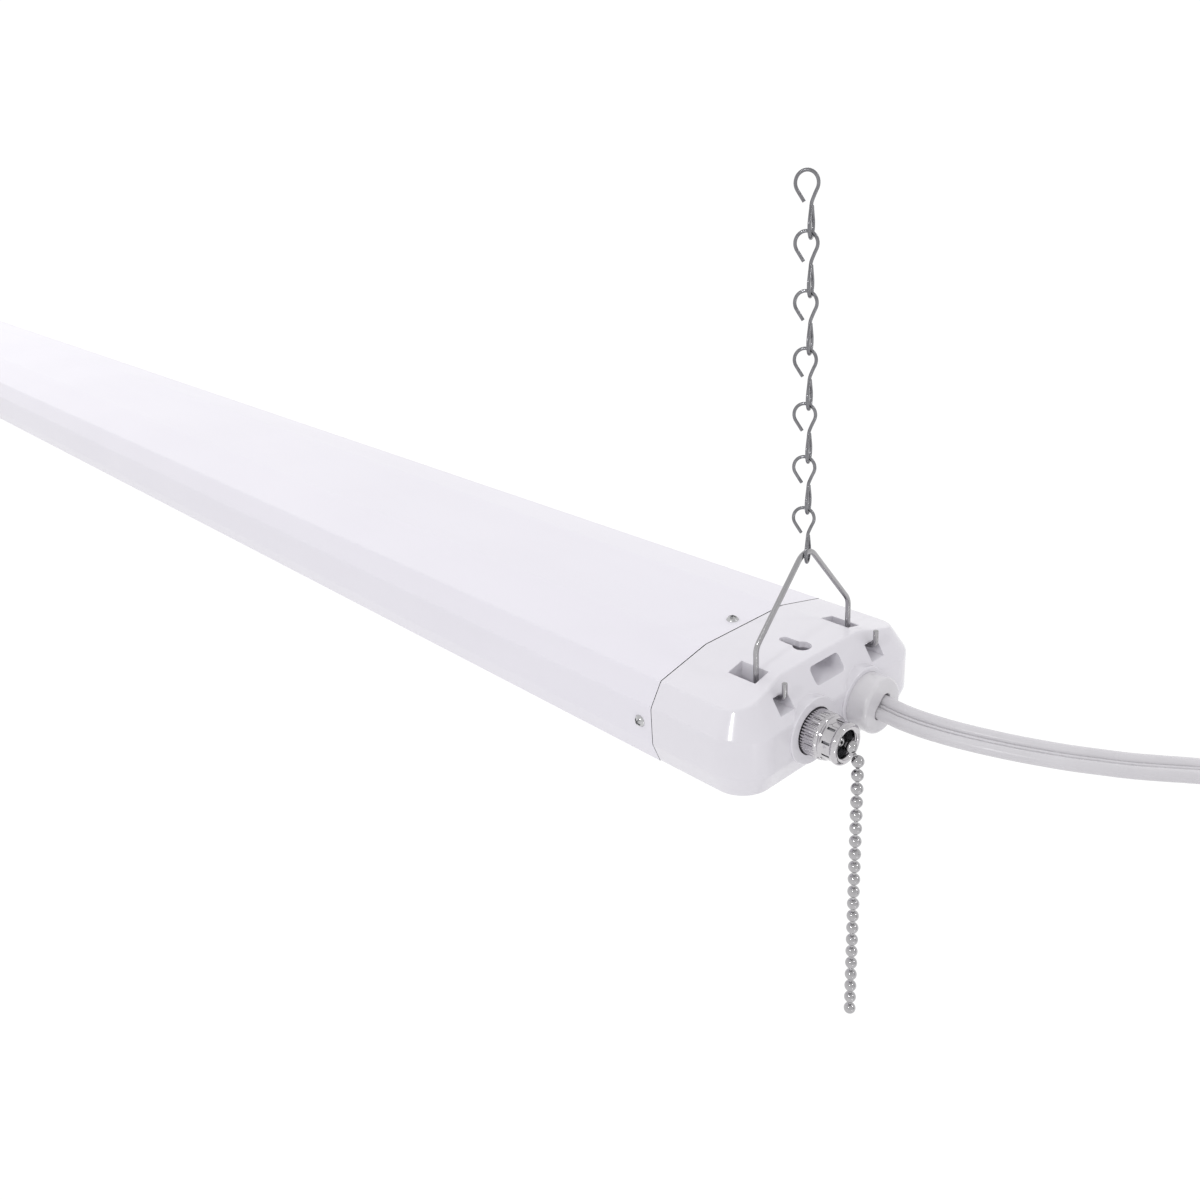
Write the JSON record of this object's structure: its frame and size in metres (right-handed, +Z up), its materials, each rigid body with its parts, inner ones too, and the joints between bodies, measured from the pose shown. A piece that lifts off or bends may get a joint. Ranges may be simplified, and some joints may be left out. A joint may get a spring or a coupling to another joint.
{
  "type": "hanging shop light",
  "caption": "Long slim LED shop light hung from jack chains on wire hangers, with a bead pull-chain switch and a flat power cord with a grounded plug at one end.",
  "frame": {"origin": "midway between the two ceiling hooks, at the height where the hooks' wire bears on the inside of the top links", "axes": "+X along the light towards the end with the pull switch and the power cord, +Y across it to the side of the cord gland, +Z up"},
  "size_m": [1.4657, 0.1267, 0.3583],
  "materials": {
    "chain_steel": "satin",
    "hanger_steel": "satin",
    "white_sheet": "satin",
    "cap_plastic": "gloss",
    "gland_plastic": "gloss",
    "lens_plastic": "matte",
    "screw_steel": "gloss",
    "board_white": "satin",
    "led_yellow": "gloss",
    "driver_metal": "satin",
    "circuit_green": "satin",
    "switch_plastic": "matte",
    "switch_chrome": "polished",
    "bead_nickel": "polished",
    "cord_vinyl": "satin",
    "tie_black": "matte",
    "plug_vinyl": "satin",
    "plug_brass": "satin",
    "lead_black": "satin",
    "lead_white": "satin",
    "lead_green": "satin",
    "lead_red": "satin",
    "lead_blue": "satin",
    "connector_orange": "gloss"
  },
  "bodies": {
    "ceiling_links": {"near_top_link": "chain_steel", "far_top_link": "chain_steel"},
    "chains": {"near_chain": "chain_steel", "far_chain": "chain_steel"},
    "light": {"near_hanger": "hanger_steel", "far_hanger": "hanger_steel", "housing": "white_sheet", "switch_cap": "cap_plastic", "plain_cap": "cap_plastic", "switch_cap_screws": "screw_steel", "plain_cap_screws": "screw_steel", "lens": "lens_plastic", "gear_tray": "white_sheet", "board_front": "board_white", "board_back": "board_white", "leds_front": "led_yellow", "leds_back": "led_yellow", "board_screws": "screw_steel", "driver_case": "driver_metal", "driver_board": "circuit_green", "driver_cover": "driver_metal", "driver_screws": "screw_steel", "ground_screw": "screw_steel", "switch_body": "switch_plastic", "switch_bushing": "switch_chrome", "switch_nut": "switch_chrome", "switch_bell": "switch_chrome", "cord_gland": "gland_plastic", "gland_nut": "gland_plastic", "cord_free": "cord_vinyl", "cord_coil": "cord_vinyl", "cord_tie": "tie_black", "cord_tail": "cord_vinyl", "plug_body": "plug_vinyl", "plug_prongs": "plug_brass", "lead_live": "lead_black", "lead_neutral": "lead_white", "lead_earth": "lead_green", "lead_switched": "lead_black", "lead_board_plus": "lead_red", "lead_board_minus": "lead_blue", "wire_connector": "connector_orange"},
    "plunger": {"switch_plunger": "bead_nickel"},
    "mouth_bead": {"mouth_bead": "bead_nickel"},
    "neck_bead": {"neck_bead": "bead_nickel"},
    "pull_chain": {"pull_chain": "bead_nickel"}
  },
  "joints": [
    {"name": "chains_swing", "type": "hinge", "parent": "ceiling_links", "child": "chains", "pos_m": [0, 0, -0.01842], "axis": [1, 0, 0], "range_deg": [-30, 30]},
    {"name": "light_rock", "type": "hinge", "parent": "chains", "child": "light", "pos_m": [0, 0, -0.12765], "axis": [1, 0, 0], "range_deg": [-18, 18]},
    {"name": "switch_pull", "type": "slide", "parent": "light", "child": "plunger", "axis": [1, 0, 0], "range_m": [0, 0.0045], "stiffness_N_per_m": 400},
    {"name": "mouth_bead_run", "type": "slide", "parent": "light", "child": "mouth_bead", "axis": [0.5318, 0, -0.8468], "range_m": [0, 0.0045]},
    {"name": "neck_bead_run", "type": "slide", "parent": "light", "child": "neck_bead", "axis": [0, 0, -1], "range_m": [0, 0.0045]},
    {"name": "pull_chain_swing", "type": "hinge", "parent": "neck_bead", "child": "pull_chain", "pos_m": [0.6289, -0.0151, -0.1914], "axis": [1, 0, 0], "range_deg": [-35, 35]}
  ],
  "couplings": [
    {"joint": "mouth_bead_run", "follows": "switch_pull", "ratio": 1},
    {"joint": "neck_bead_run", "follows": "switch_pull", "ratio": 1}
  ]
}
